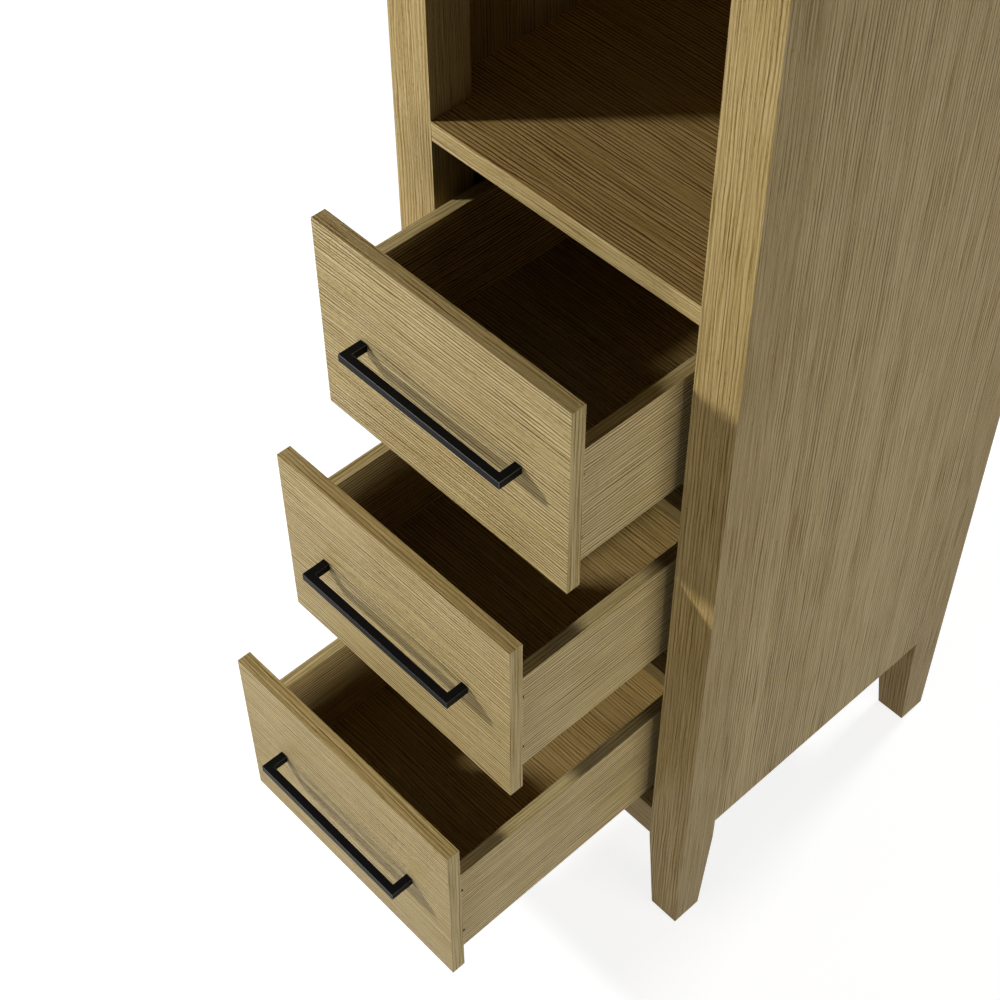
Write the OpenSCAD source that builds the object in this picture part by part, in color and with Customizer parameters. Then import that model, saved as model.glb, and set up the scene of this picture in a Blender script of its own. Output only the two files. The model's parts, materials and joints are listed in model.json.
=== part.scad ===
// Narrow bathroom cabinet on four tapered legs: an open bay over three inset drawers.
// X runs to the right, Y to the back and Z up, in millimetres.
// The origin is on the floor, at the middle of the cabinet's footprint.
// The drawers are drawn pulled out by the amounts given under Drawer positions.

/* [Cabinet] */
// Width over the outer faces of the posts
cabinet_width = 480; // [430:1:640]
// Depth from the front of the front posts to the back of the rear posts
cabinet_depth = 508; // [420:1:620]
// Height from the floor to the top of the top panel
cabinet_height = 1524; // [1350:1:1900]

/* [Posts] */
// Width of a post, across the front
post_width = 57; // [45:0.5:65]
// Depth of a post, front to back
post_depth = 56; // [45:0.5:70]
// Width of a post where it meets the floor
foot_width = 42; // [30:0.5:44]
// Depth of a post where it meets the floor
foot_depth = 43; // [30:0.5:44]
// Distance below the apron at which the taper of the inner faces begins
taper_drop = 4; // [0:0.5:40]
// Radius that eases the straight inner face into the taper
taper_easing = 160; // [40:10:400]

/* [Panels and rails] */
// Thickness of the side panels, flush with the outside of the posts
side_panel_thickness = 18; // [12:0.5:24]
// Height of the lower edge of the side panels above that of the apron
side_panel_rise = 32; // [4:0.5:36]
// Thickness of the back panel
back_panel_thickness = 12; // [6:0.5:14]
// Distance of the back panel from the back of the rear posts
back_panel_inset = 12; // [4:0.5:16]
// Thickness of the top panel, which caps the posts
top_panel_thickness = 24; // [16:0.5:32]
// Thickness of the fixed shelf that is the floor of the open bay
shelf_thickness = 24; // [16:0.5:32]
// Clear height under the front apron
apron_bottom = 156; // [120:1:200]
// Height of the front apron
apron_height = 57.5; // [50:0.5:80]
// Thickness of the front apron
apron_thickness = 21; // [16:0.5:30]
// Height of a rail between two drawers
rail_height = 21; // [16:0.5:32]
// Depth of a rail between two drawers
rail_depth = 57; // [30:1:80]
// Thickness of the bottom panel that closes the case under the drawers
bottom_panel_thickness = 12; // [6:0.5:14]
// Height of the bottom panel above the lower edge of the side panels
bottom_panel_lift = 2; // [0:0.5:4]

/* [Wall fixing] */
// Radius of the two wall fixing holes in the back panel
fixing_hole_radius = 2.75; // [2:0.25:4]
// Distance between the wall fixing holes
fixing_hole_spacing = 256; // [128:1:280]
// Distance of the wall fixing holes below the top of the cabinet
fixing_hole_drop = 64; // [50:1:120]

/* [Drawer fronts] */
// Height of a drawer front
front_height = 256; // [240:1:275]
// Thickness of a drawer front
front_thickness = 18; // [14:0.5:22]
// Gap all round between a drawer front and its opening
front_gap = 3; // [2:0.25:4]

/* [Drawer boxes] */
// Gap between a drawer box and the posts beside it
box_side_gap = 12; // [8:0.5:16]
// Height of a drawer box
box_height = 160; // [130:1:190]
// Distance from the lower edge of the front up to the lower edge of the box
box_rise = 22; // [20:0.5:30]
// Gap between the end of a closed drawer box and the back panel
box_rear_gap = 16; // [8:0.5:40]
// Thickness of the drawer sides
box_side_thickness = 15; // [12:0.5:18]
// Thickness of the inner front of the box, behind the drawer front
box_front_thickness = 15; // [12:0.5:18]
// Thickness of the back of the box
box_back_thickness = 15; // [12:0.5:18]
// Thickness of the floor of the box
box_floor_thickness = 10; // [6:0.5:12]
// Height of the recess under the floor of the box
box_floor_recess = 13; // [12:0.5:16]
// Depth of the grooves that hold the floor of the box
groove_depth = 5; // [3:0.5:8]

/* [Drawer positions] */
// Distance that the top drawer stands open
top_drawer_open = 159; // [0:1:380]
// Distance that the middle drawer stands open
middle_drawer_open = 236; // [0:1:380]
// Distance that the bottom drawer stands open
bottom_drawer_open = 329; // [0:1:380]

/* [Drawer slides] */
// Distance of the cabinet member behind a closed drawer front
slide_setback = 2; // [1:0.5:4]
// Thickness of the sheet steel of the slides
slide_sheet = 1.5; // [1:0.1:2]
// Running gap between the members of a slide
slide_gap = 0.25; // [0.15:0.05:0.5]
// Gap between the runner and the inner front of a closed drawer
runner_setback = 2; // [1:0.5:6]
// Width of the runner between the cabinet member and the drawer member
runner_width = 18; // [12:0.5:24]
// Height of the runner
runner_height = 21; // [18:0.5:21]
// Gap between the drawer member and the drawer side next to it
slide_side_gap = 0.75; // [0.5:0.25:3]
// Length of the drawer member's lips beside the runner
drawer_lip_height = 12; // [8:0.5:13]
// Height of the cabinet member's lips beside the runner
cabinet_lip_height = 6; // [4:0.5:8]
// Height of the cabinet member's upright flange
flange_height = 36; // [30:1:44]
// Height of the wooden cleats behind the flanges
cleat_height = 50; // [46:1:70]
// Distance of the lower edge of a cleat below the flange
cleat_drop = 6; // [0:0.5:12]
// Length of the locking clips under the drawer floor
clip_length = 42; // [30:1:60]
// Width of the locking clips
clip_width = 24; // [16:1:40]
// Height of the locking clips
clip_height = 11; // [8:0.5:12]

/* [Pulls] */
// Overall length of a pull
pull_length = 234; // [120:1:300]
// Thickness of the square bar
pull_bar = 10; // [8:0.5:14]
// Distance that the pull stands out from the drawer front
pull_projection = 30; // [24:0.5:40]
// Height of the pull's centre above the middle of the drawer front
pull_rise = 3; // [0:0.5:20]

/* [Screws] */
// Radius of the shanks of the screws in the drawer sides
side_screw_radius = 2; // [1.5:0.1:2.5]
// Radius of the heads of the screws in the drawer sides
side_screw_head_radius = 3.2; // [2.8:0.1:4.5]
// Height of the heads of the screws in the drawer sides
side_screw_head_height = 2; // [1:0.1:3]
// Length of the screws in the drawer sides
side_screw_length = 40; // [25:1:50]
// Distance between the two screws in a drawer side
side_screw_spacing = 92; // [60:1:110]
// Radius of the shanks of the pull screws
pull_screw_radius = 2; // [1.5:0.1:2.5]
// Radius of the heads of the pull screws
pull_screw_head_radius = 4; // [3:0.1:5]
// Height of the heads of the pull screws
pull_screw_head_height = 2.4; // [1.5:0.1:3.5]
// Depth of the threaded holes in the legs of a pull
pull_thread_depth = 12; // [8:0.5:16]
// Gap between the end of a pull screw and the end of its threaded hole
thread_end_gap = 1; // [0.5:0.5:3]
// Radius of the shanks of the slide screws
slide_screw_radius = 2; // [1.5:0.1:2.2]
// Radius of the heads of the slide screws
slide_screw_head_radius = 3.5; // [3:0.1:4.5]
// Height of the heads of the slide screws
slide_screw_head_height = 2; // [1:0.1:2.5]
// Length of the slide screws
slide_screw_length = 16; // [10:0.5:22]
// Distance of the outer slide screws from the ends of a cleat
slide_screw_inset = 24; // [12:1:60]
// Radial clearance of every screw in its hole
screw_clearance = 0.05; // [0.02:0.01:0.1]

/* [Hidden] */
$fn = 48;

// Levels of the drawers, and the two sides as multipliers of X
TOP = "top";
MIDDLE = "middle";
BOTTOM = "bottom";
LEVELS = [TOP, MIDDLE, BOTTOM];
SIDES = [-1, 1];

oak = [0.67, 0.57, 0.38];
oak_dark = [0.60, 0.50, 0.33];
black = [0.07, 0.07, 0.07];
steel = [0.72, 0.73, 0.74];
grey = [0.45, 0.46, 0.47];

// Planes across the cabinet, as distances from its middle
half_width = cabinet_width / 2;
opening_half = half_width - post_width;
case_half = half_width - side_panel_thickness;
front_half = opening_half - front_gap;
box_half = opening_half - box_side_gap;
box_inner_half = box_half - box_side_thickness;

// Planes front to back
front_y = -cabinet_depth / 2;
rear_y = cabinet_depth / 2;
front_post_back = front_y + post_depth;
rear_post_front = rear_y - post_depth;
back_panel_y = rear_y - back_panel_inset - back_panel_thickness;

// Heights
post_top = cabinet_height - top_panel_thickness;
taper_height = apron_bottom - taper_drop;
side_panel_bottom = apron_bottom + side_panel_rise;
apron_top = apron_bottom + apron_height;
opening_height = front_height + 2 * front_gap;
drawer_pitch = opening_height + rail_height;
shelf_bottom = apron_top + drawer_pitch * len(LEVELS) - rail_height;
bottom_panel_z = side_panel_bottom + bottom_panel_lift;

// Sizes inside a drawer, from its lower front edge
floor_underside = box_rise + box_floor_recess;
floor_top = floor_underside + box_floor_thickness;
box_front_back = front_thickness + box_front_thickness;
box_end = cabinet_depth - back_panel_inset - back_panel_thickness - box_rear_gap;
slide_length = box_end - front_thickness;
slide_front = front_thickness + slide_setback;
slide_end = slide_front + slide_length;
runner_front = box_front_back + runner_setback;

// The slide's section, from the drawer floor down
runner_top = floor_underside - slide_sheet - slide_gap;
runner_bottom = runner_top - runner_height;
web_top = runner_bottom - slide_gap;
web_bottom = web_top - slide_sheet;
runner_outer = box_inner_half - slide_side_gap - slide_sheet - slide_gap;
runner_inner = runner_outer - runner_width;
lip_inner = runner_inner - slide_gap - slide_sheet;
lip_outer = runner_outer + slide_gap + slide_sheet;
slide_screw_z = web_bottom + flange_height / 2;
cleat_bottom = web_bottom - cleat_drop;

// Straight stretches in the arc at the start of the taper
easing_steps = 6;

// How far a cut runs past the face that it opens
cut = 1;

// Places of the pull
pull_z = front_height / 2 + pull_rise;
pull_leg_x = pull_length / 2 - pull_bar / 2;

function level_open(level) =
    level == TOP ? top_drawer_open : level == MIDDLE ? middle_drawer_open : bottom_drawer_open;
function drawers_below(level) = level == TOP ? 2 : level == MIDDLE ? 1 : 0;
function level_bottom(level) = apron_top + drawers_below(level) * drawer_pitch + front_gap;

// Moves a shape given from the front plane and a drawer's lower edge to its level
module at_level(level, open = 0)
    translate([0, front_y - open, level_bottom(level)]) children();

// Moves a shape with the drawer of a level
module in_drawer(level) at_level(level, level_open(level)) children();

// A box between two corners
module block(low, high) translate(low) cube(high - low);

// The shape for one side: right as given, left as its mirror image
module on_side(side) mirror([side < 0 ? 1 : 0, 0, 0]) children();

// Both of a pair of shapes, given for the right side
module pair() for (side = SIDES) on_side(side) children();

// A pin or a hole that runs along X
module along_x(radius, low, high)
    translate([low, 0, 0]) rotate([0, 90, 0]) cylinder(r = radius, h = high - low);

// A pin or a hole that runs along Y
module along_y(radius, low, high)
    translate([0, low, 0]) rotate([-90, 0, 0]) cylinder(r = radius, h = high - low);

// The points of the arc that eases a straight face into the taper down to the foot
function easing_points(face, foot) = let (
    angle = atan((face - foot) / taper_height),
    start = taper_height + taper_easing * tan(angle / 2)
) [for (step = [0:easing_steps]) let (turn = angle * step / easing_steps)
    [face - taper_easing * (1 - cos(turn)), start - taper_easing * sin(turn)]];

function reverse_points(points) = [for (index = [len(points) - 1:-1:0]) points[index]];

// The outline of a post seen along one of its sides: straight outside, tapered inside
module post_outline(face, foot)
    polygon(concat([[0, post_top], [0, 0], [foot, 0]],
        reverse_points(easing_points(face, foot)), [[face, post_top]]));

// The front right post, with its outer corner at the origin of its plan
module post_shape() intersection() {
    translate([0, post_depth + cut, 0]) rotate([90, 0, 0])
        linear_extrude(post_depth + 2 * cut) post_outline(post_width, foot_width);
    translate([-cut, 0, 0]) rotate([90, 0, 90])
        linear_extrude(post_width + 2 * cut) post_outline(post_depth, foot_depth);
}

// A post at one corner of the cabinet
module post(side, front) color(oak)
    on_side(side) mirror([0, front ? 0 : 1, 0])
        translate([half_width, front_y, 0]) mirror([1, 0, 0]) post_shape();

// A panel that fills the plan between the posts and is notched round them
module notched_plan(half, low_y, high_y) difference() {
    translate([-half, low_y]) square([2 * half, high_y - low_y]);
    for (side = SIDES, back = [0, 1]) mirror([side < 0 ? 1 : 0, 0]) mirror([0, back])
        translate([opening_half, front_y]) square([post_width, post_depth]);
}

module side_panel(side) color(oak) on_side(side)
    block([case_half, front_post_back, side_panel_bottom], [half_width, rear_post_front, post_top]);

module back_panel() color(oak) difference() {
    block([-opening_half, back_panel_y, apron_bottom],
        [opening_half, back_panel_y + back_panel_thickness, post_top]);
    pair() translate([fixing_hole_spacing / 2, 0, cabinet_height - fixing_hole_drop])
        along_y(fixing_hole_radius, back_panel_y - cut, rear_y);
}

module top_panel() color(oak)
    block([-half_width, front_y, post_top], [half_width, rear_y, cabinet_height]);

module bay_shelf() color(oak) translate([0, 0, shelf_bottom]) linear_extrude(shelf_thickness)
    notched_plan(case_half, front_y, back_panel_y);

module bottom_panel() color(oak_dark) translate([0, 0, bottom_panel_z])
    linear_extrude(bottom_panel_thickness)
        notched_plan(case_half, front_y + apron_thickness, back_panel_y);

// The rail that lies under the drawer of a level
module rail(level) color(oak) at_level(level)
    block([-opening_half, 0, -front_gap - rail_height], [opening_half, rail_depth, -front_gap]);

module front_apron() color(oak)
    block([-opening_half, front_y, apron_bottom],
        [opening_half, front_y + apron_thickness, apron_top]);

// The places of the three screws of one slide, along the flange
module slide_screw_places()
    for (y = [post_depth + slide_screw_inset, cabinet_depth / 2,
            cabinet_depth - post_depth - slide_screw_inset])
        translate([0, y, slide_screw_z]) children();

module cleats(level) color(oak_dark) at_level(level) pair() difference() {
    block([opening_half, post_depth, cleat_bottom],
        [case_half, cabinet_depth - post_depth, cleat_bottom + cleat_height]);
    slide_screw_places() along_x(slide_screw_radius + screw_clearance,
        opening_half - cut, opening_half - slide_sheet + slide_screw_length);
}

// The cabinet member: a flange on the posts and cleat, and a web with two lips under the drawer
module cabinet_slides(level) color(steel) at_level(level) pair() difference() {
    union() {
        block([opening_half - slide_sheet, slide_front, web_bottom],
            [opening_half, slide_end, web_bottom + flange_height]);
        block([lip_inner, slide_front, web_bottom], [opening_half, slide_end, web_top]);
        for (x = [lip_inner, lip_outer - slide_sheet])
            block([x, slide_front, web_bottom],
                [x + slide_sheet, slide_end, web_top + cabinet_lip_height]);
    }
    slide_screw_places() along_x(slide_screw_radius + screw_clearance,
        opening_half - slide_sheet - cut, opening_half + cut);
}

module slide_screws() color(steel) for (level = LEVELS) at_level(level) pair()
    slide_screw_places() {
        along_x(slide_screw_radius, opening_half - slide_sheet,
            opening_half - slide_sheet + slide_screw_length);
        along_x(slide_screw_head_radius, opening_half - slide_sheet - slide_screw_head_height,
            opening_half - slide_sheet);
    }

// The middle member of a slide, which moves half as far as the drawer
module runners(level) color(steel) at_level(level, level_open(level) / 2) pair() difference() {
    block([runner_inner, runner_front, runner_bottom], [runner_outer, slide_end, runner_top]);
    block([runner_inner + slide_sheet, runner_front - cut, runner_bottom + slide_sheet],
        [runner_outer - slide_sheet, slide_end + cut, runner_top - slide_sheet]);
}

// The drawer member: a channel upside down over the runner, against the drawer floor
module drawer_slides(level) color(steel) in_drawer(level) pair() difference() {
    block([lip_inner, box_front_back, floor_underside - slide_sheet - drawer_lip_height],
        [lip_outer, box_end, floor_underside]);
    block([lip_inner + slide_sheet, box_front_back - cut, 0],
        [lip_outer - slide_sheet, box_end + cut, floor_underside - slide_sheet]);
}

// The clip that locks the drawer to its slide, with a finger lever at its front end
module drawer_clips(level) color(grey) in_drawer(level) pair()
    translate([lip_inner - clip_width, box_front_back, floor_underside])
        rotate([90, 0, 90]) linear_extrude(clip_width)
            polygon([[0, 0], [0, -clip_height], [clip_length * 0.3, -clip_height],
                [clip_length * 0.55, -clip_height * 0.55], [clip_length, -clip_height * 0.55],
                [clip_length, 0]]);

module drawer_front(level) color(oak) in_drawer(level) difference() {
    block([-front_half, 0, 0], [front_half, front_thickness, front_height]);
    pull_screw_places()
        along_y(pull_screw_radius + screw_clearance, -cut, front_thickness + cut);
}

// The places of the two screws in a drawer side
module side_screw_places()
    for (end = SIDES)
        translate([0, front_thickness + box_front_thickness / 2,
            box_rise + box_height / 2 + end * side_screw_spacing / 2]) children();

// A screw through the drawer side into the inner front; grow makes its hole
module side_screw(grow = 0) {
    along_x(side_screw_radius + grow, box_half - side_screw_length - grow, box_half);
    along_x(side_screw_head_radius + grow, box_half - side_screw_head_height,
        box_half + (grow > 0 ? cut : 0));
}

module drawer_side(level, side) color(oak) in_drawer(level) on_side(side) difference() {
    block([box_inner_half, front_thickness, box_rise],
        [box_half, box_end, box_rise + box_height]);
    block([box_inner_half - cut, box_front_back - groove_depth, floor_underside],
        [box_inner_half + groove_depth, box_end + cut, floor_top]);
    side_screw_places() side_screw(screw_clearance);
}

module drawer_inner_front(level) color(oak_dark) in_drawer(level) difference() {
    block([-box_inner_half, front_thickness, box_rise],
        [box_inner_half, box_front_back, box_rise + box_height]);
    block([-box_inner_half - cut, box_front_back - groove_depth, floor_underside],
        [box_inner_half + cut, box_front_back + cut, floor_top]);
    pair() side_screw_places() side_screw(screw_clearance);
    pull_screw_places() along_y(pull_screw_radius + screw_clearance,
        front_thickness - cut, box_front_back + cut);
}

module drawer_back(level) color(oak) in_drawer(level)
    block([-box_inner_half, box_end - box_back_thickness, floor_top],
        [box_inner_half, box_end, box_rise + box_height]);

module drawer_floor(level) color(oak_dark) in_drawer(level)
    block([-box_inner_half - groove_depth, box_front_back - groove_depth, floor_underside],
        [box_inner_half + groove_depth, box_end, floor_top]);

module drawer_side_screws(level) color(black) in_drawer(level) pair()
    side_screw_places() side_screw();

// The places of the two screws that hold a pull
module pull_screw_places() for (side = SIDES) translate([side * pull_leg_x, 0, pull_z]) children();

// The pull: a square bar with a square leg at each end, drilled and threaded for its screws
module drawer_pull(level) color(black) in_drawer(level) difference() {
    block([-pull_length / 2, -pull_projection, pull_z - pull_bar / 2],
        [pull_length / 2, 0, pull_z + pull_bar / 2]);
    block([-pull_length / 2 + pull_bar, -pull_projection + pull_bar, pull_z - pull_bar],
        [pull_length / 2 - pull_bar, cut, pull_z + pull_bar]);
    pull_screw_places() along_y(pull_screw_radius + screw_clearance, -pull_thread_depth, cut);
}

module drawer_pull_screws(level) color(steel) in_drawer(level) pull_screw_places() {
    along_y(pull_screw_radius, -pull_thread_depth + thread_end_gap, box_front_back);
    along_y(pull_screw_head_radius, box_front_back, box_front_back + pull_screw_head_height);
}

post(-1, true);  // front_left_post
post(1, true);  // front_right_post
post(-1, false);  // rear_left_post
post(1, false);  // rear_right_post
side_panel(-1);  // left_side_panel
side_panel(1);  // right_side_panel
back_panel();
top_panel();
bay_shelf();
rail(TOP);  // upper_rail
rail(MIDDLE);  // lower_rail
front_apron();
bottom_panel();
cleats(TOP);  // top_cleats
cleats(MIDDLE);  // middle_cleats
cleats(BOTTOM);  // bottom_cleats
cabinet_slides(TOP);  // top_cabinet_slides
cabinet_slides(MIDDLE);  // middle_cabinet_slides
cabinet_slides(BOTTOM);  // bottom_cabinet_slides
slide_screws();
runners(TOP);  // top_runners
runners(MIDDLE);  // middle_runners
runners(BOTTOM);  // bottom_runners
drawer_front(TOP);  // top_drawer_front
drawer_side(TOP, -1);  // top_drawer_left_side
drawer_side(TOP, 1);  // top_drawer_right_side
drawer_inner_front(TOP);  // top_drawer_inner_front
drawer_back(TOP);  // top_drawer_back
drawer_floor(TOP);  // top_drawer_floor
drawer_slides(TOP);  // top_drawer_slides
drawer_clips(TOP);  // top_drawer_clips
drawer_side_screws(TOP);  // top_drawer_side_screws
drawer_pull(TOP);  // top_drawer_pull
drawer_pull_screws(TOP);  // top_drawer_pull_screws
drawer_front(MIDDLE);  // middle_drawer_front
drawer_side(MIDDLE, -1);  // middle_drawer_left_side
drawer_side(MIDDLE, 1);  // middle_drawer_right_side
drawer_inner_front(MIDDLE);  // middle_drawer_inner_front
drawer_back(MIDDLE);  // middle_drawer_back
drawer_floor(MIDDLE);  // middle_drawer_floor
drawer_slides(MIDDLE);  // middle_drawer_slides
drawer_clips(MIDDLE);  // middle_drawer_clips
drawer_side_screws(MIDDLE);  // middle_drawer_side_screws
drawer_pull(MIDDLE);  // middle_drawer_pull
drawer_pull_screws(MIDDLE);  // middle_drawer_pull_screws
drawer_front(BOTTOM);  // bottom_drawer_front
drawer_side(BOTTOM, -1);  // bottom_drawer_left_side
drawer_side(BOTTOM, 1);  // bottom_drawer_right_side
drawer_inner_front(BOTTOM);  // bottom_drawer_inner_front
drawer_back(BOTTOM);  // bottom_drawer_back
drawer_floor(BOTTOM);  // bottom_drawer_floor
drawer_slides(BOTTOM);  // bottom_drawer_slides
drawer_clips(BOTTOM);  // bottom_drawer_clips
drawer_side_screws(BOTTOM);  // bottom_drawer_side_screws
drawer_pull(BOTTOM);  // bottom_drawer_pull
drawer_pull_screws(BOTTOM);  // bottom_drawer_pull_screws
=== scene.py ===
import json
from collections import namedtuple
from math import radians, tau

import bpy
from bpy.props import FloatProperty, FloatVectorProperty, PointerProperty
from mathutils import Euler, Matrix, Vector


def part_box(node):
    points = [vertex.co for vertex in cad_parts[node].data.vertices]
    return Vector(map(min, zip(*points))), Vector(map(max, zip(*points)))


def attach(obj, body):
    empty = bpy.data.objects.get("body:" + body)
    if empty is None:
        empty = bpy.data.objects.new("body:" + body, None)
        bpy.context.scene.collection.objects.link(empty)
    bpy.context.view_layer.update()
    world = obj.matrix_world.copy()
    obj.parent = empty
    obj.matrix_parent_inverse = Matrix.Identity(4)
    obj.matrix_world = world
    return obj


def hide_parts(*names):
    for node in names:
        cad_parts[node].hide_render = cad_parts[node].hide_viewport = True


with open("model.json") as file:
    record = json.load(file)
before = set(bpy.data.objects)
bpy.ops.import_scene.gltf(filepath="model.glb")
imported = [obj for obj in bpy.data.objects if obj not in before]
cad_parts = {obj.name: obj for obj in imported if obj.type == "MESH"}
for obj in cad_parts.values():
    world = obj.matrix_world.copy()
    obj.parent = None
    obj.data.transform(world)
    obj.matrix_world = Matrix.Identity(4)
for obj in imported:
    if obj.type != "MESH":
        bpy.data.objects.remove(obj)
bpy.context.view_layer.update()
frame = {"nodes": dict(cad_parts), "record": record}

bl_info = {
    "name": "Bathroom Cabinet",
    "version": (1, 0, 0),
    "blender": (4, 5, 0),
    "location": "3D View > Sidebar > Cabinet",
    "description": "Dresses the frame of a narrow oak bathroom cabinet and sets its stage",
    "category": "Object",
}

X, Y, Z = 0, 1, 2
LEVELS = ("top", "middle", "bottom")
SIDES = ("left", "right")
GRAIN_MAP = "Grain"
EASED = "eased"
VENEER = "veneer"
BANDS = "bands"

# The plane of the posts' fronts, from which the stage is measured
FRONT_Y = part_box("front_left_post")[0][1]

# A veneer's tone, which besides its own paleness paints the light and shade that fall on each facing, its
# depth of colour, which paints that shade in the golden tint, and how strongly the lines of its grain are
# drawn, on the faces that look along X, Y and Z; how pale the painted shade leaves the faces that look into
# the cabinet; and how strong its broad bands are
Veneer = namedtuple("Veneer", "paleness depth lines inside bands")
VENEERS = {
    "front": Veneer((0.94, 0.98, 1.08), (0.0, 0.0, 0.35), (0.58, 0.58, 0.58), 1.0, 0.0),
    "drawer": Veneer((1.07, 1.0, 1.24), (0.0, 0.0, 0.0), (0.64, 0.64, 0.64), 1.0, 0.0),
    "floor": Veneer((1.0, 1.0, 0.95), (0.8, 0.8, 0.8), (0.30, 0.30, 0.30), 1.0, 0.0),
    "shelf": Veneer((1.0, 1.15, 0.90), (0.0, 0.1, 1.0), (0.58, 0.58, 0.58), 1.0, 0.0),
    "rail": Veneer((1.0, 0.70, 0.9), (0.6, 0.6, 0.6), (0.30, 0.30, 0.30), 1.0, 0.0),
    "post": Veneer((0.68, 0.93, 1.0), (0.30, 0.4, 0.3), (0.08, 0.23, 0.23), 0.8, 0.0),
    "panel": Veneer((0.75, 1.0, 1.0), (0.15, 0.0, 0.3), (0.30, 0.30, 0.30), 0.8, 0.42),
}

# Painted shade: added to the depth of colour on the faces that look into the cabinet, which turns them darker
# and browner
INSIDE_SHADE_DEPTH = 0.5

# On faces narrower than this, the edges of the boards, the lines are this much fainter
NARROW, NARROW_LINES = 0.030, 0.3

# How far the grain is shifted, along and across, from board to board, from facing to facing and between
# two opposite faces, so that each face shows its own stretch of it
GRAIN_SHIFTS = ((1.371, 3.17, 0.43), (0.613, 0.291, 0.43))

# How much paler the wood is on the eased edges, on the cabinet's boards and on those of the drawer boxes
EDGE_WEAR, INNER_EDGE_WEAR = 0.10, 0.04

# A face lies flat on a board, and isn't part of a rounding, where its normal runs along one axis at least
# this far
FLAT_FACE = 0.97

# Corners closer together than this are joined, and faces that turn less than this become one face
ONE_CORNER, ONE_FACE = 1e-6, radians(0.3)

# Edges that turn more than this are eased, and on a screw they stay sharp
SHARP_EDGE, SHARP_ON_SCREW = radians(30), radians(35)

# The radius of a screw's head, its height, the rounding of its rim, and the screw's whole length
Screw = namedtuple("Screw", "head_radius head_height rounding length")
SIDE_SCREW = Screw(0.0032, 0.0020, 0.0004, 0.0400)
PULL_SCREW = Screw(0.0040, 0.0024, 0.0013, 0.0464)
SLIDE_SCREW = Screw(0.0035, 0.0020, 0.0010, 0.0180)

# The radius of every shank, the length of its tip, and the width of the tip's end in widths of the shank
SHANK_RADIUS, SHANK_TIP, TIP_END = 0.002, 0.003, 0.3

# An arm of the cross recess: its length and width in radii of the head, its depth in heights of the head,
# and the width of its foot in widths of its top
RECESS_LENGTH, RECESS_WIDTH, RECESS_DEPTH, RECESS_FOOT = 1.1, 0.24, 0.6, 0.45

# Width of the rounded edges of the locking clips
CLIP_ROUNDING = 0.0008

# Distance of the floor below the feet, which keeps their undersides clear of it
FLOOR_DROP = 0.0003

# How bright the floor looks near the cabinet, where its colour adds the rest, and how far off it starts
# to turn white and is white
FLOOR_GLOW, WHITE_FROM, WHITE_AT = 0.83, 1.5, 6.0

# A lamp's place, measured from the foot of the cabinet's front, and the length of its two axes
Lamp = namedtuple("Lamp", "place size")
LAMPS = {
    "main_lamp": Lamp((-2.25, -2.20, 2.25), (0.30, 0.30)),
    "soft_lamp": Lamp((-1.80, -3.00, 0.90), (1.8, 1.8)),
    "fill_lamp": Lamp((0.80, -3.20, 0.55), (0.8, 1.0)),
    "side_lamp": Lamp((3.10, 0.55, 0.75), (2.0, 1.0)),
    "back_lamp": Lamp((0.0, 3.20, 2.60), (0.6, 0.6)),
}
LAMP_TARGET = Vector((0.0, FRONT_Y - 0.12, 0.72))

# The light that the world sheds on things
WORLD_LIGHT = 0.004

# The camera's place and turn, found from the edges that the photo shows
CAMERA_PLACE = (0.97730, FRONT_Y - 0.97520, 2.25135)
CAMERA_TURN = (radians(40.6573), radians(0.4940), radians(46.9624))

BODY_OF = {node: body for body, nodes in frame["record"]["behaviour"]["bodies"].items() for node in nodes}
SLOT_OF = {part["node"]: part["material_slot"] for part in frame["record"]["subparts"]}


# Settings

class OakSettings(bpy.types.PropertyGroup):
    """The veneered oak boards."""

    pale: FloatVectorProperty(
        name="Pale Wood", description="Colour of the palest lines of the grain",
        subtype="COLOR", size=3, min=0.0, max=1.0, default=(0.540, 0.427, 0.217))
    body: FloatVectorProperty(
        name="Wood", description="Colour of the wood between the lines of the grain",
        subtype="COLOR", size=3, min=0.0, max=1.0, default=(0.386, 0.288, 0.112))
    brown: FloatVectorProperty(
        name="Brown Wood", description="Colour of the soft brown lines of the grain",
        subtype="COLOR", size=3, min=0.0, max=1.0, default=(0.254, 0.167, 0.039))
    dark: FloatVectorProperty(
        name="Dark Pores", description="Colour of the darkest pores",
        subtype="COLOR", size=3, min=0.0, max=1.0, default=(0.128, 0.072, 0.012))
    # The golden tint is the colour of painted shade: it is mixed in where a face's depth of colour, set by
    # facing and inside the cabinet, is high
    golden: FloatVectorProperty(
        name="Golden Tint", description="Multiplies the colours where the veneer is deepest",
        subtype="COLOR", size=3, min=0.0, max=1.0, default=(1.0, 0.85, 0.60))
    line_spacing: FloatProperty(
        name="Line Spacing", description="Usual distance from one line of the grain to the next",
        unit="LENGTH", min=0.001, max=0.02, default=0.0045)
    line_width: FloatProperty(
        name="Line Width", description="Width of the fine, irregular lines between the others",
        unit="LENGTH", min=0.0005, max=0.02, default=0.0014)
    line_length: FloatProperty(
        name="Line Length", description="Usual length of a line of the grain",
        unit="LENGTH", min=0.01, max=1.0, default=0.30)
    relief: FloatProperty(
        name="Relief", description="Depth of the grain felt under a finger",
        unit="LENGTH", min=0.0, max=0.002, default=0.0007)
    edge_rounding: FloatProperty(
        name="Edge Rounding", description="Width of the eased edges of the boards",
        unit="LENGTH", min=0.0001, max=0.003, default=0.0007)


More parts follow.
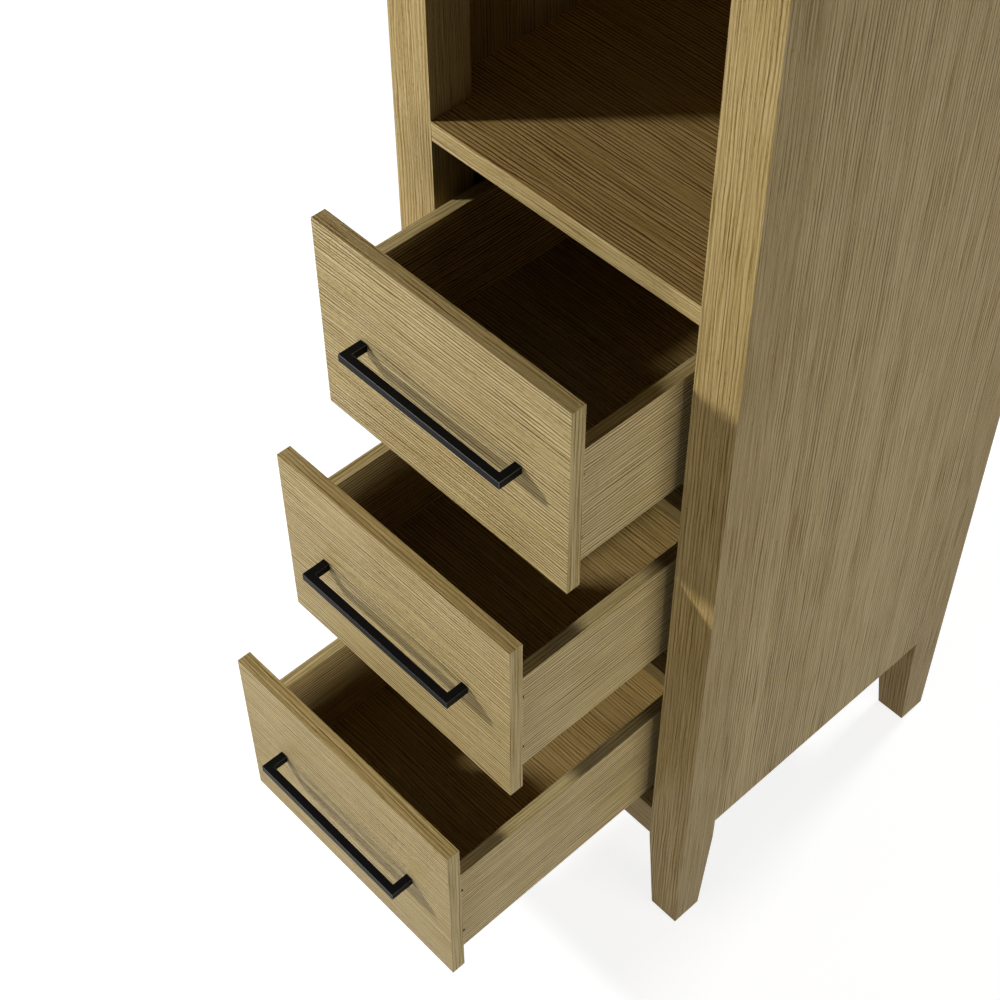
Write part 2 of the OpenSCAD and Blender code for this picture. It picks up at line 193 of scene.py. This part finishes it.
class MetalSettings(bpy.types.PropertyGroup):
    """The pulls, slides and screws."""

    pull_colour: FloatVectorProperty(
        name="Pull Colour", description="Colour of the powder coat on the pulls",
        subtype="COLOR", size=3, min=0.0, max=1.0, default=(0.003, 0.003, 0.0033))
    # The rim colour is a painted highlight: it makes the rounded edges of the pulls paler, as if they caught
    # the light
    rim_colour: FloatVectorProperty(
        name="Rim Colour", description="Colour of the powder coat along the edges of the pulls",
        subtype="COLOR", size=3, min=0.0, max=1.0, default=(0.16, 0.165, 0.17))
    pull_rounding: FloatProperty(
        name="Pull Rounding", description="Width of the rounded edges of the pulls",
        unit="LENGTH", min=0.0001, max=0.003, default=0.0009)
    zinc_colour: FloatVectorProperty(
        name="Zinc Colour", description="Colour of the zinc plate on slides and screws",
        subtype="COLOR", size=3, min=0.0, max=1.0, default=(0.62, 0.63, 0.64))
    sheet_rounding: FloatProperty(
        name="Sheet Rounding", description="Width of the rounded edges of the sheet steel",
        unit="LENGTH", min=0.0001, max=0.0007, default=0.00035)


class StageSettings(bpy.types.PropertyGroup):
    """The floor, the lamps and the camera."""

    floor_colour: FloatVectorProperty(
        name="Floor Colour", description="Colour of the floor",
        subtype="COLOR", size=3, min=0.0, max=1.0, default=(0.36, 0.36, 0.36))
    floor_size: FloatProperty(
        name="Floor Size", description="Length of each side of the floor",
        unit="LENGTH", min=2.0, max=60.0, default=40.0)
    main_lamp: FloatProperty(
        name="Main Lamp", description="Power of the lamp on the left, in watts",
        unit="POWER", min=0.0, max=2000.0, default=108.0)
    soft_lamp: FloatProperty(
        name="Soft Lamp", description="Power of the broad low lamp on the left, in watts",
        unit="POWER", min=0.0, max=2000.0, default=15.0)
    fill_lamp: FloatProperty(
        name="Fill Lamp", description="Power of the low lamp in front, in watts",
        unit="POWER", min=0.0, max=2000.0, default=25.0)
    side_lamp: FloatProperty(
        name="Side Lamp", description="Power of the broad lamp on the right, in watts",
        unit="POWER", min=0.0, max=2000.0, default=46.0)
    back_lamp: FloatProperty(
        name="Back Lamp", description="Power of the high lamp behind the cabinet, in watts",
        unit="POWER", min=0.0, max=2000.0, default=60.0)
    lens: FloatProperty(
        name="Lens", description="Focal length of the camera, in millimetres",
        unit="CAMERA", min=20.0, max=200.0, default=68.494)


# Shader nodes

class Value:
    """A socket that varies over a surface; expressions on it add Math nodes."""

    def __init__(self, shader, socket):
        self.shader = shader
        self.socket = socket

    def out(self, name):
        return Value(self.shader, self.socket.node.outputs[name])

    def maths(self, operation, first, second):
        return self.shader.node("ShaderNodeMath", {"operation": operation}, {0: first, 1: second})

    def __add__(self, other):
        return self.maths("ADD", self, other)

    def __radd__(self, other):
        return self.maths("ADD", other, self)

    def __sub__(self, other):
        return self.maths("SUBTRACT", self, other)

    def __rsub__(self, other):
        return self.maths("SUBTRACT", other, self)

    def __mul__(self, other):
        return self.maths("MULTIPLY", self, other)

    def __rmul__(self, other):
        return self.maths("MULTIPLY", other, self)

    def __truediv__(self, other):
        return self.maths("DIVIDE", self, other)


class Shader:
    """The nodes of one material or world."""

    def __init__(self, owner):
        owner.use_nodes = True
        self.owner = owner
        self.tree = owner.node_tree

    def node(self, kind, settings=None, inputs=None):
        """A node of that type: its settings first, then the values or links of its inputs."""
        node = self.tree.nodes.new(kind)
        for name, value in (settings or {}).items():
            if name == "stops":
                self.set_stops(node.color_ramp, value)
            else:
                setattr(node, name, value)
        for name, value in (inputs or {}).items():
            self.connect(value, node.inputs[name])
        return Value(self, node.outputs[0])

    def set_stops(self, ramp, stops):
        while len(ramp.elements) < len(stops):
            ramp.elements.new(1.0)
        for element, (position, colour) in zip(ramp.elements, stops):
            element.position = position
            element.color = (*colour, 1.0)

    def connect(self, value, socket):
        if isinstance(value, Value):
            self.tree.links.new(value.socket, socket)
        else:
            socket.default_value = value

    def finish(self, **inputs):
        """Connects the surface's inputs, whose names are written here with underscores."""
        surface = self.tree.nodes["Principled BSDF"]
        for name, value in inputs.items():
            self.connect(value, surface.inputs[name.replace("_", " ")])
        return self.owner


def step_between(value, low, high):
    """0 below low, 1 above high, and a soft step between them."""
    return value.shader.node(
        "ShaderNodeMapRange", {"interpolation_type": "SMOOTHSTEP"},
        {"Value": value, "From Min": low, "From Max": high})


def noise(shader, place, scale, detail, roughness, dimensions="3D"):
    return shader.node(
        "ShaderNodeTexNoise", {"noise_dimensions": dimensions},
        {"Vector": place, "Scale": scale, "Detail": detail, "Roughness": roughness})


def object_place(shader):
    return shader.node("ShaderNodeTexCoord").out("Object")


def split(shader, vector):
    """A vector whose parts are taken with out("X"), out("Y") and out("Z")."""
    return shader.node("ShaderNodeSeparateXYZ", inputs={"Vector": vector})


def attribute(shader, name, output="Fac"):
    return shader.node("ShaderNodeAttribute", {"attribute_name": name}).out(output)


def ramp(value, *stops):
    """The colour of a value between stops, each a position and a colour."""
    return value.shader.node("ShaderNodeValToRGB", {"stops": stops}, {"Fac": value})


def mix(amount, first, second, blend_type="MIX"):
    """Two colours mixed by the node's colour sockets, whose names aren't their own; a plain colour gets its
    fourth channel here."""
    first, second = (colour if isinstance(colour, Value) else (*colour, 1.0) for colour in (first, second))
    return amount.shader.node("ShaderNodeMix", {"data_type": "RGBA", "blend_type": blend_type}, {
        0: amount, 6: first, 7: second}).out(2)


def bump(height, strength, distance):
    return height.shader.node("ShaderNodeBump", inputs={
        "Strength": strength, "Distance": distance, "Height": height})


# Finishes

def oak_finish(name, wear):
    """Straight-grained oak veneer under a matt lacquer, on the grain map of each board, with painted light
    and shade on each facing.
    """
    settings = bpy.context.scene.cabinet_oak
    shader = Shader(bpy.data.materials.new(name))
    place = split(shader, shader.node("ShaderNodeUVMap", {"uv_map": GRAIN_MAP}))
    along, across = place.out("X"), place.out("Y")

    def streaks(length, width, shift=0.0, line=None, detail=1.0, roughness=0.5):
        """Noise drawn out along the grain to a length and a width in metres, straight or along a line."""
        spot = shader.node("ShaderNodeCombineXYZ", inputs={
            "X": along / length + shift, "Y": (line or across) / width})
        return noise(shader, spot, 1.0, detail, roughness, "2D")

    # The lines of the grain wander, and waver on the way
    wander = streaks(0.30, 0.06) - 0.5
    waver = streaks(0.040, 0.010, 7.3) - 0.5
    line = across + wander * 0.006 + waver * 0.0013

    # Ribs are the lines that the eye follows, a line spacing apart, each cut off here and there
    width, length = settings.line_width, settings.line_length
    turns = line / settings.line_spacing + streaks(0.11, 0.009, 8.6) * 0.95
    wave = shader.node("ShaderNodeMath", {"operation": "SINE"}, {0: turns * tau})
    valley = step_between(0.0 - wave, 0.4, 1.0)
    presence = step_between(streaks(0.14, 0.010, 6.2, line), 0.18, 0.60)
    ribs = (wave * 0.5 - valley + 0.24) * presence

    # Between them run finer ones, down to single fibres and pores, over broad and narrow changes of tone
    lines = streaks(length, width, 0.0, line) - 0.5
    hairs = streaks(length * 0.5, width * 0.75, 4.4, line) - 0.5
    dark_line = step_between(streaks(length * 0.42, width * 0.9, 2.2, line), 0.56, 0.68)
    bunches = streaks(0.60, 0.012, 3.1, line, detail=2.0) - 0.5
    fibres = streaks(0.022, 0.0007, 1.7, line, detail=2.0, roughness=0.6) - 0.5
    pores = step_between(streaks(0.007, 0.0004, 5.9, line), 0.60, 0.72)
    boards = streaks(1.6, 0.16, 9.7) - 0.5
    bands = streaks(1.4, 0.024, 11.9) - 0.5
    eased = attribute(shader, EASED)
    # The veneer's numbers: the face's tone with painted light and shade, its depth of colour, which mixes in
    # the golden tint of painted shade, and how strongly its lines are drawn
    veneer = split(shader, attribute(shader, VENEER, "Vector"))
    paleness, depth, drawn = veneer.out("X"), veneer.out("Y"), veneer.out("Z")

    fine = lines * 0.38 + hairs * 0.72 + fibres * 0.26
    tone = (0.69 + boards * 0.18 + bunches * 0.12 + bands * attribute(shader, BANDS) + fine + ribs * drawn
            - dark_line * 0.22 - pores * (0.06 + dark_line * 0.20) + eased * wear)
    wood = ramp(
        tone, (0.08, settings.dark), (0.34, settings.brown), (0.58, settings.body), (0.92, settings.pale))
    # Painted light and shade: the face's tone scales the colour, and its depth tints it golden
    colour = shader.node("ShaderNodeVectorMath", {"operation": "SCALE"}, {
        "Vector": mix(depth, wood, settings.golden, "MULTIPLY"), "Scale": paleness})
    height = ribs * (0.06 + drawn * 0.30) + fine - dark_line * 0.4 - pores * 0.3
    return shader.finish(
        Base_Color=colour, Roughness=0.52 + dark_line * 0.12 + pores * 0.1 - eased * 0.08,
        Normal=bump(height, 1.0, settings.relief), Specular_IOR_Level=0.20)


def black_coat(name):
    """Satin black powder coat, with its fine orange-peel skin and a painted highlight along its rounded
    edges.
    """
    settings = bpy.context.scene.cabinet_metal
    shader = Shader(bpy.data.materials.new(name))
    place = object_place(shader)
    skin = noise(shader, place, 900.0, 2.0, 0.5)
    patches = noise(shader, place, 60.0, 3.0, 0.6)
    light = [min(1.0, channel * 1.9) for channel in settings.pull_colour]
    coat = mix(step_between(patches * 0.6 + skin * 0.4, 0.40, 0.75), settings.pull_colour, light)
    # Painted highlight: the rounded edges are made paler, as if they caught the light
    painted_rim_highlight = attribute(shader, EASED) * (0.55 + patches * 0.6)
    return shader.finish(
        Base_Color=mix(painted_rim_highlight, coat, settings.rim_colour), Roughness=0.36 + patches * 0.12,
        Normal=bump(skin, 0.5, 0.00006), Specular_IOR_Level=0.06)


def black_screw_and_hole_shade(name):
    """Black steel of the screws in the drawer sides; its near-black also paints the shade in the holes that
    they sit in.
    """
    shader = Shader(bpy.data.materials.new(name))
    patches = noise(shader, object_place(shader), 450.0, 3.0, 0.6)
    return shader.finish(
        Base_Color=ramp(patches, (0.35, (0.004, 0.004, 0.0035)), (0.70, (0.014, 0.013, 0.012))),
        Roughness=0.42 + patches * 0.2, Normal=bump(patches, 0.4, 0.00005), Specular_IOR_Level=0.12)


def zinc_plate(name):
    """Zinc-plated steel, with lines left by rolling that run front to back."""
    settings = bpy.context.scene.cabinet_metal
    shader = Shader(bpy.data.materials.new(name))
    place = split(shader, object_place(shader))
    spot = shader.node("ShaderNodeCombineXYZ", inputs={
        "X": place.out("X") * 2600.0, "Y": place.out("Y") * 16.0, "Z": place.out("Z") * 2600.0})
    rolling = noise(shader, spot, 1.0, 3.0, 0.6)
    spangle = noise(shader, object_place(shader), 120.0, 2.0, 0.5)
    dull = [channel * 0.72 for channel in settings.zinc_colour]
    return shader.finish(
        Base_Color=mix(step_between(spangle * 0.5 + rolling * 0.5, 0.35, 0.68), dull, settings.zinc_colour),
        Roughness=0.26 + rolling * 0.16 + spangle * 0.08, Normal=bump(rolling, 0.5, 0.00003), Metallic=1.0)


def grey_moulding(name):
    """Moulded grey plastic with a fine spark texture."""
    shader = Shader(bpy.data.materials.new(name))
    place = object_place(shader)
    grain = noise(shader, place, 1400.0, 2.0, 0.6)
    flow = noise(shader, place, 55.0, 2.0, 0.5)
    colour = ramp(
        flow * 0.6 + grain * 0.4, (0.30, (0.115, 0.118, 0.122)), (0.75, (0.165, 0.168, 0.172)))
    return shader.finish(
        Base_Color=colour, Roughness=0.48 + grain * 0.18, Normal=bump(grain, 0.5, 0.00005))


FINISHES = {
    "oak_veneer": lambda name: oak_finish(name, EDGE_WEAR),
    "oak_inner": lambda name: oak_finish(name, INNER_EDGE_WEAR),
    "black_metal": black_coat,
    "black_screw": black_screw_and_hole_shade,
    "zinc_steel": zinc_plate,
    "grey_plastic": grey_moulding,
}


def finish_of(slot):
    """The material of a slot, made the first time that it is asked for."""
    name = slot + "_finish"
    return bpy.data.materials.get(name) or FINISHES[slot](name)


# Modelling

def select_only(*pieces):
    bpy.ops.object.select_all(action="DESELECT")
    for piece in pieces:
        piece.select_set(True)
    bpy.context.view_layer.objects.active = pieces[-1]


def copy_of(node, name):
    """A new piece with a node's mesh, its loose triangles joined into whole faces."""
    mesh = frame["nodes"][node].data.copy()
    mesh.name = name
    mesh.materials.clear()
    piece = bpy.data.objects.new(name, mesh)
    bpy.context.scene.collection.objects.link(piece)
    select_only(piece)
    bpy.ops.mesh.customdata_custom_splitnormals_clear()
    bpy.ops.object.mode_set(mode="EDIT")
    bpy.ops.mesh.select_all(action="SELECT")
    bpy.ops.mesh.remove_doubles(threshold=ONE_CORNER)
    bpy.ops.mesh.dissolve_limited(angle_limit=ONE_FACE)
    bpy.ops.mesh.select_all(action="DESELECT")
    bpy.ops.object.mode_set(mode="OBJECT")
    return piece


def ease_edges(piece, width, segments=2):
    """Rounds every sharp edge of a piece and marks the faces of the rounding."""
    select_only(piece)
    bevel = piece.modifiers.new("Eased edges", "BEVEL")
    bevel.width = width
    bevel.segments = segments
    bevel.limit_method = "ANGLE"
    bevel.angle_limit = SHARP_EDGE
    bpy.ops.object.modifier_apply(modifier=bevel.name)
    eased = piece.data.attributes.new(EASED, "FLOAT", "FACE")
    for face in piece.data.polygons:
        eased.data[face.index].value = float(max(map(abs, face.normal)) < FLAT_FACE)


def lay_grain(piece, grain, seed, veneer):
    """Gives each face its distance along and across the grain, in metres, and its veneer's numbers, which
    paint the light and shade of its facing.
    """
    mesh = piece.data
    while mesh.uv_layers:
        mesh.uv_layers.remove(mesh.uv_layers[0])
    layer = mesh.uv_layers.new(name=GRAIN_MAP)
    for name, kind in ((VENEER, "FLOAT_VECTOR"), (BANDS, "FLOAT")):
        mesh.attributes.new(name, kind, "FACE")
    numbers, bands = mesh.attributes[VENEER], mesh.attributes[BANDS]
    size = piece.dimensions
    for face in mesh.polygons:
        facing = max((X, Y, Z), key=lambda axis: abs(face.normal[axis]))
        others = [axis for axis in (X, Y, Z) if axis != facing]
        along = max(others, key=lambda axis: (axis == grain, size[axis]))
        across = next(axis for axis in others if axis != along)
        outer = face.normal[facing] > 0
        shift = Vector([seed * board + facing * way + outer * side for board, way, side in GRAIN_SHIFTS])
        # Each facing's tone and depth of colour paint the light and shade that fall on it
        paleness, depth, lines = veneer.paleness[facing], veneer.depth[facing], veneer.lines[facing]
        # Painted shade: faces that look into the cabinet are made darker and more golden
        if facing != Z and face.normal[facing] * face.center[facing] < 0.0:
            paleness, depth = paleness * veneer.inside, depth + INSIDE_SHADE_DEPTH
        if size[across] < NARROW:
            lines *= NARROW_LINES
        numbers.data[face.index].vector = (paleness, depth, lines)
        bands.data[face.index].value = veneer.bands
        for loop in face.loop_indices:
            place = mesh.vertices[mesh.loops[loop].vertex_index].co
            layer.data[loop].uv = Vector((place[along], place[across])) + shift


def dress(piece, node):
    """Gives a finished piece its material and lets it stand for a node."""
    piece.data.materials.append(finish_of(SLOT_OF[node]))
    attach(piece, BODY_OF[node])
    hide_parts(node)
    return piece


def make_board(node, grain, veneer):
    """A veneered board in place of a node, with eased edges and its own stretch of grain."""
    settings = bpy.context.scene.cabinet_oak
    piece = copy_of(node, "oak_" + node)
    ease_edges(piece, settings.edge_rounding)
    lay_grain(piece, grain, list(SLOT_OF).index(node), veneer)
    return dress(piece, node)


def make_rounded(node, kind, width, segments=2):
    """A metal or plastic piece in place of a node, with rounded edges."""
    piece = copy_of(node, kind + "_" + node)
    ease_edges(piece, width, segments)
    return dress(piece, node)


def loose_boxes(node):
    """The lowest and highest corner of each loose part of a node."""
    select_only(copy_of(node, "spare"))
    bpy.ops.object.mode_set(mode="EDIT")
    bpy.ops.mesh.select_all(action="SELECT")
    bpy.ops.mesh.separate(type="LOOSE")
    bpy.ops.object.mode_set(mode="OBJECT")
    boxes = []
    for part in bpy.context.selected_objects:
        places = [vertex.co for vertex in part.data.vertices]
        boxes.append([Vector([bound(place[axis] for place in places) for axis in (X, Y, Z)])
                      for bound in (min, max)])
    bpy.ops.object.delete()
    return boxes


def select_end(piece, direction):
    """In edit mode, selects the flat faces that look up or down the Z axis."""
    bpy.ops.mesh.select_all(action="DESELECT")
    bpy.ops.object.mode_set(mode="OBJECT")
    for face in piece.data.polygons:
        face.select = face.normal.z * direction > FLAT_FACE
    bpy.ops.object.mode_set(mode="EDIT")


def cut_slot(piece, length, width, depth):
    """Cuts one arm of a cross recess, narrower at its foot, into the top of a screw head."""
    select_only(piece)
    bpy.ops.object.select_all(action="DESELECT")
    bpy.ops.mesh.primitive_cube_add(size=1.0, location=(0.0, 0.0, 0.0), scale=(length, width, depth * 2.0))
    cutter = bpy.context.object
    bpy.ops.object.transform_apply(location=False, rotation=False, scale=True)
    bpy.ops.object.mode_set(mode="EDIT")
    select_end(cutter, -1.0)
    bpy.ops.transform.resize(value=(RECESS_FOOT, RECESS_FOOT, 1.0))
    bpy.ops.object.mode_set(mode="OBJECT")
    select_only(piece)
    cut = piece.modifiers.new("Recess", "BOOLEAN")
    cut.operation = "DIFFERENCE"
    cut.solver = "EXACT"
    cut.object = cutter
    bpy.ops.object.modifier_apply(modifier=cut.name)
    select_only(cutter)
    bpy.ops.object.delete()


def make_screw(size):
    """One screw, its head at the origin looking up and its shank below."""
    bpy.ops.object.select_all(action="DESELECT")
    bpy.ops.mesh.primitive_cylinder_add(
        vertices=40, radius=size.head_radius, depth=size.head_height,
        location=(0.0, 0.0, -size.head_height / 2.0))
    screw = bpy.context.object
    bpy.ops.object.transform_apply(location=True, rotation=False, scale=False)
    bpy.ops.object.mode_set(mode="EDIT")
    select_end(screw, 1.0)
    bpy.ops.mesh.bevel(offset=size.rounding, segments=4, affect="EDGES")
    select_end(screw, -1.0)
    bpy.ops.mesh.inset(thickness=size.head_radius - SHANK_RADIUS)
    bpy.ops.mesh.extrude_region_move(
        TRANSFORM_OT_translate={"value": (0.0, 0.0, size.head_height + SHANK_TIP - size.length)})
    bpy.ops.mesh.extrude_region_move(TRANSFORM_OT_translate={"value": (0.0, 0.0, -SHANK_TIP)})
    bpy.ops.transform.resize(value=(TIP_END, TIP_END, 1.0))
    bpy.ops.object.mode_set(mode="OBJECT")
    length, width = size.head_radius * RECESS_LENGTH, size.head_radius * RECESS_WIDTH
    depth = size.head_height * RECESS_DEPTH
    cut_slot(screw, length, width, depth)
    cut_slot(screw, width, length, depth)
    select_only(screw)
    bpy.ops.object.shade_smooth_by_angle(angle=SHARP_ON_SCREW)
    return screw


def set_screws(node, kind, screw, facing):
    """Copies a screw to each screw of a node; facing gives the way that the head at a place looks."""
    pieces = []
    for low, high in loose_boxes(node):
        middle = (low + high) / 2.0
        way = facing(middle)
        piece = screw.copy()
        piece.data = screw.data.copy()
        bpy.context.scene.collection.objects.link(piece)
        piece.location = middle + way * max(high - low) / 2.0
        piece.rotation_euler = way.to_track_quat("Z", "Y").to_euler()
        pieces.append(piece)
    select_only(*pieces)
    bpy.ops.object.transform_apply(location=True, rotation=True, scale=True)
    if len(pieces) > 1:
        bpy.ops.object.join()
    joined = bpy.context.object
    joined.name = kind + "_" + node
    joined.data.name = joined.name
    return dress(joined, node)


def outward(place):
    return Vector((1.0 if place.x > 0.0 else -1.0, 0.0, 0.0))


def inward(place):
    return -outward(place)


def backward(place):
    return Vector((0.0, 1.0, 0.0))


# Pieces

class CABINET_OT_posts(bpy.types.Operator):
    """Makes the four tapered posts"""

    bl_idname = "cabinet.posts"
    bl_label = "Posts"

    def execute(self, context):
        for end in ("front", "rear"):
            for side in SIDES:
                make_board(f"{end}_{side}_post", Z, VENEERS["post"])
        return {"FINISHED"}


class CABINET_OT_panels(bpy.types.Operator):
    """Makes the side panels, the back panel, the top panel and the bottom panel"""

    bl_idname = "cabinet.panels"
    bl_label = "Panels"

    def execute(self, context):
        for node, grain in (("left_side_panel", Z), ("right_side_panel", Z), ("back_panel", Z),
                            ("top_panel", X), ("bottom_panel", X)):
            make_board(node, grain, VENEERS["panel"])
        return {"FINISHED"}


class CABINET_OT_shelf_and_rails(bpy.types.Operator):
    """Makes the shelf of the open bay, the rails between the drawers and the front apron"""

    bl_idname = "cabinet.shelf_and_rails"
    bl_label = "Shelf and Rails"

    def execute(self, context):
        make_board("bay_shelf", X, VENEERS["shelf"])
        for node in ("upper_rail", "lower_rail", "front_apron"):
            make_board(node, X, VENEERS["rail"])
        return {"FINISHED"}


class CABINET_OT_cleats(bpy.types.Operator):
    """Makes the cleats that the drawer slides are screwed to"""

    bl_idname = "cabinet.cleats"
    bl_label = "Cleats"

    def execute(self, context):
        for level in LEVELS:
            make_board(f"{level}_cleats", Y, VENEERS["rail"])
        return {"FINISHED"}


class CABINET_OT_drawer_fronts(bpy.types.Operator):
    """Makes the three drawer fronts"""

    bl_idname = "cabinet.drawer_fronts"
    bl_label = "Drawer Fronts"

    def execute(self, context):
        for level in LEVELS:
            make_board(f"{level}_drawer_front", X, VENEERS["front"])
        return {"FINISHED"}


class CABINET_OT_drawer_boxes(bpy.types.Operator):
    """Makes the sides, inner fronts, backs and floors of the drawer boxes"""

    bl_idname = "cabinet.drawer_boxes"
    bl_label = "Drawer Boxes"

    def execute(self, context):
        for level in LEVELS:
            for part, grain in (("left_side", Y), ("right_side", Y), ("inner_front", X), ("back", X)):
                make_board(f"{level}_drawer_{part}", grain, VENEERS["drawer"])
            make_board(f"{level}_drawer_floor", X, VENEERS["floor"])
        return {"FINISHED"}


class CABINET_OT_pulls(bpy.types.Operator):
    """Makes the three pulls"""

    bl_idname = "cabinet.pulls"
    bl_label = "Pulls"

    def execute(self, context):
        settings = context.scene.cabinet_metal
        for level in LEVELS:
            make_rounded(f"{level}_drawer_pull", "black", settings.pull_rounding, 3)
        return {"FINISHED"}


class CABINET_OT_slides(bpy.types.Operator):
    """Makes the three members of the drawer slides"""

    bl_idname = "cabinet.slides"
    bl_label = "Drawer Slides"

    def execute(self, context):
        settings = context.scene.cabinet_metal
        for level in LEVELS:
            for part in ("cabinet_slides", "runners", "drawer_slides"):
                make_rounded(f"{level}_{part}", "steel", settings.sheet_rounding)
        return {"FINISHED"}


class CABINET_OT_clips(bpy.types.Operator):
    """Makes the locking clips under the drawers"""

    bl_idname = "cabinet.clips"
    bl_label = "Locking Clips"

    def execute(self, context):
        for level in LEVELS:
            make_rounded(f"{level}_drawer_clips", "plastic", CLIP_ROUNDING, 3)
        return {"FINISHED"}


class CABINET_OT_screws(bpy.types.Operator):
    """Makes the screws of the drawer sides, the pulls and the slides"""

    bl_idname = "cabinet.screws"
    bl_label = "Screws"

    def execute(self, context):
        side_screw, pull_screw, slide_screw = map(make_screw, (SIDE_SCREW, PULL_SCREW, SLIDE_SCREW))
        for level in LEVELS:
            set_screws(f"{level}_drawer_side_screws", "black", side_screw, outward)
            set_screws(f"{level}_drawer_pull_screws", "steel", pull_screw, backward)
        set_screws("slide_screws", "steel", slide_screw, inward)
        select_only(side_screw, pull_screw, slide_screw)
        bpy.ops.object.delete()
        return {"FINISHED"}


# Stage

class CABINET_OT_stage(bpy.types.Operator):
    """Sets the floor, the lamps, the world and the camera"""

    bl_idname = "cabinet.stage"
    bl_label = "Stage"

    def execute(self, context):
        settings = context.scene.cabinet_stage
        lay_floor(settings)
        for name, lamp in LAMPS.items():
            hang_lamp(name, lamp, getattr(settings, name))
        light_world()
        place_camera(settings)
        context.scene.view_settings.view_transform = "Standard"
        return {"FINISHED"}


def seen_directly(shader):
    """1 where the camera, a mirror or glass looks at the surface, and 0 for light that falls on things."""
    path = shader.node("ShaderNodeLightPath")
    seen = path.maths("MAXIMUM", path.out("Is Camera Ray"), path.out("Is Glossy Ray"))
    return path.maths("MAXIMUM", seen, path.out("Is Transmission Ray"))


def lay_floor(settings):
    """A pale floor just under the feet, which grows white towards the horizon and is clear from below."""
    bpy.ops.object.select_all(action="DESELECT")
    bpy.ops.mesh.primitive_plane_add(size=settings.floor_size, location=(0.0, 0.0, -FLOOR_DROP))
    floor = bpy.context.object
    floor.name = "floor"
    shader = Shader(bpy.data.materials.new("floor_finish"))
    distance = shader.node(
        "ShaderNodeVectorMath", {"operation": "LENGTH"}, {"Vector": object_place(shader)}).out("Value")
    strength = FLOOR_GLOW + step_between(distance, WHITE_FROM, WHITE_AT) * (1.0 - FLOOR_GLOW)
    paper = shader.node("ShaderNodeBsdfDiffuse", inputs={"Color": (*settings.floor_colour, 1.0)})
    glow = shader.node("ShaderNodeEmission", inputs={
        "Color": (1.0, 1.0, 1.0, 1.0),
        "Strength": seen_directly(shader) * strength})
    both = shader.node("ShaderNodeAddShader", inputs={0: paper, 1: glow})
    one_sided = shader.node("ShaderNodeMixShader", inputs={
        0: shader.node("ShaderNodeNewGeometry").out("Backfacing"),
        1: both, 2: shader.node("ShaderNodeBsdfTransparent")})
    shader.connect(one_sided, shader.tree.nodes["Material Output"].inputs["Surface"])
    floor.data.materials.append(shader.owner)


def hang_lamp(name, lamp, power):
    """Hangs a lamp and turns it towards the drawers."""
    place = Vector(lamp.place) + Vector((0.0, FRONT_Y, 0.0))
    bpy.ops.object.select_all(action="DESELECT")
    bpy.ops.object.light_add(type="AREA", location=place)
    light = bpy.context.object
    light.name = name
    light.data.shape = "ELLIPSE"
    light.data.size, light.data.size_y = lamp.size
    light.data.energy = power
    light.rotation_euler = (LAMP_TARGET - place).to_track_quat("-Z", "Y").to_euler()


def light_world():
    """A world that looks white and sheds hardly any light."""
    world = bpy.data.worlds.new("Studio")
    bpy.context.scene.world = world
    shader = Shader(world)
    background = shader.tree.nodes["Background"]
    background.inputs["Color"].default_value = (1.0, 1.0, 1.0, 1.0)
    shader.connect(WORLD_LIGHT + seen_directly(shader) * (1.0 - WORLD_LIGHT), background.inputs["Strength"])


def place_camera(settings):
    bpy.ops.object.select_all(action="DESELECT")
    bpy.ops.object.camera_add(location=CAMERA_PLACE)
    camera = bpy.context.object
    camera.name = "Camera"
    camera.rotation_euler = Euler(CAMERA_TURN, "XYZ")
    camera.data.sensor_width = 36.0
    camera.data.lens = settings.lens
    camera.data.clip_start = 0.01
    camera.data.clip_end = 100.0
    bpy.context.scene.camera = camera


# Panel

PIECE_OPERATORS = (
    CABINET_OT_posts, CABINET_OT_panels, CABINET_OT_shelf_and_rails, CABINET_OT_cleats,
    CABINET_OT_drawer_fronts, CABINET_OT_drawer_boxes, CABINET_OT_pulls, CABINET_OT_slides,
    CABINET_OT_clips, CABINET_OT_screws)


class CABINET_PT_panel(bpy.types.Panel):
    """Lists the settings and the pieces of the cabinet"""

    bl_label = "Bathroom Cabinet"
    bl_space_type = "VIEW_3D"
    bl_region_type = "UI"
    bl_category = "Cabinet"

    def draw(self, context):
        for group in (context.scene.cabinet_oak, context.scene.cabinet_metal, context.scene.cabinet_stage):
            box = self.layout.box()
            for name in group.__annotations__:
                box.prop(group, name)
        for operator in PIECE_OPERATORS + (CABINET_OT_stage,):
            self.layout.operator(operator.bl_idname)


CLASSES = (OakSettings, MetalSettings, StageSettings) + PIECE_OPERATORS + (CABINET_OT_stage, CABINET_PT_panel)


def register():
    for item in CLASSES:
        bpy.utils.register_class(item)
    bpy.types.Scene.cabinet_oak = PointerProperty(type=OakSettings)
    bpy.types.Scene.cabinet_metal = PointerProperty(type=MetalSettings)
    bpy.types.Scene.cabinet_stage = PointerProperty(type=StageSettings)


def unregister():
    del bpy.types.Scene.cabinet_stage
    del bpy.types.Scene.cabinet_metal
    del bpy.types.Scene.cabinet_oak
    for item in reversed(CLASSES):
        bpy.utils.unregister_class(item)


def main():
    register()
    bpy.ops.cabinet.stage()
    bpy.ops.cabinet.posts()
    bpy.ops.cabinet.panels()
    bpy.ops.cabinet.shelf_and_rails()
    bpy.ops.cabinet.cleats()
    bpy.ops.cabinet.drawer_fronts()
    bpy.ops.cabinet.drawer_boxes()
    bpy.ops.cabinet.pulls()
    bpy.ops.cabinet.slides()
    bpy.ops.cabinet.clips()
    bpy.ops.cabinet.screws()


if __name__ == "__main__":
    main()
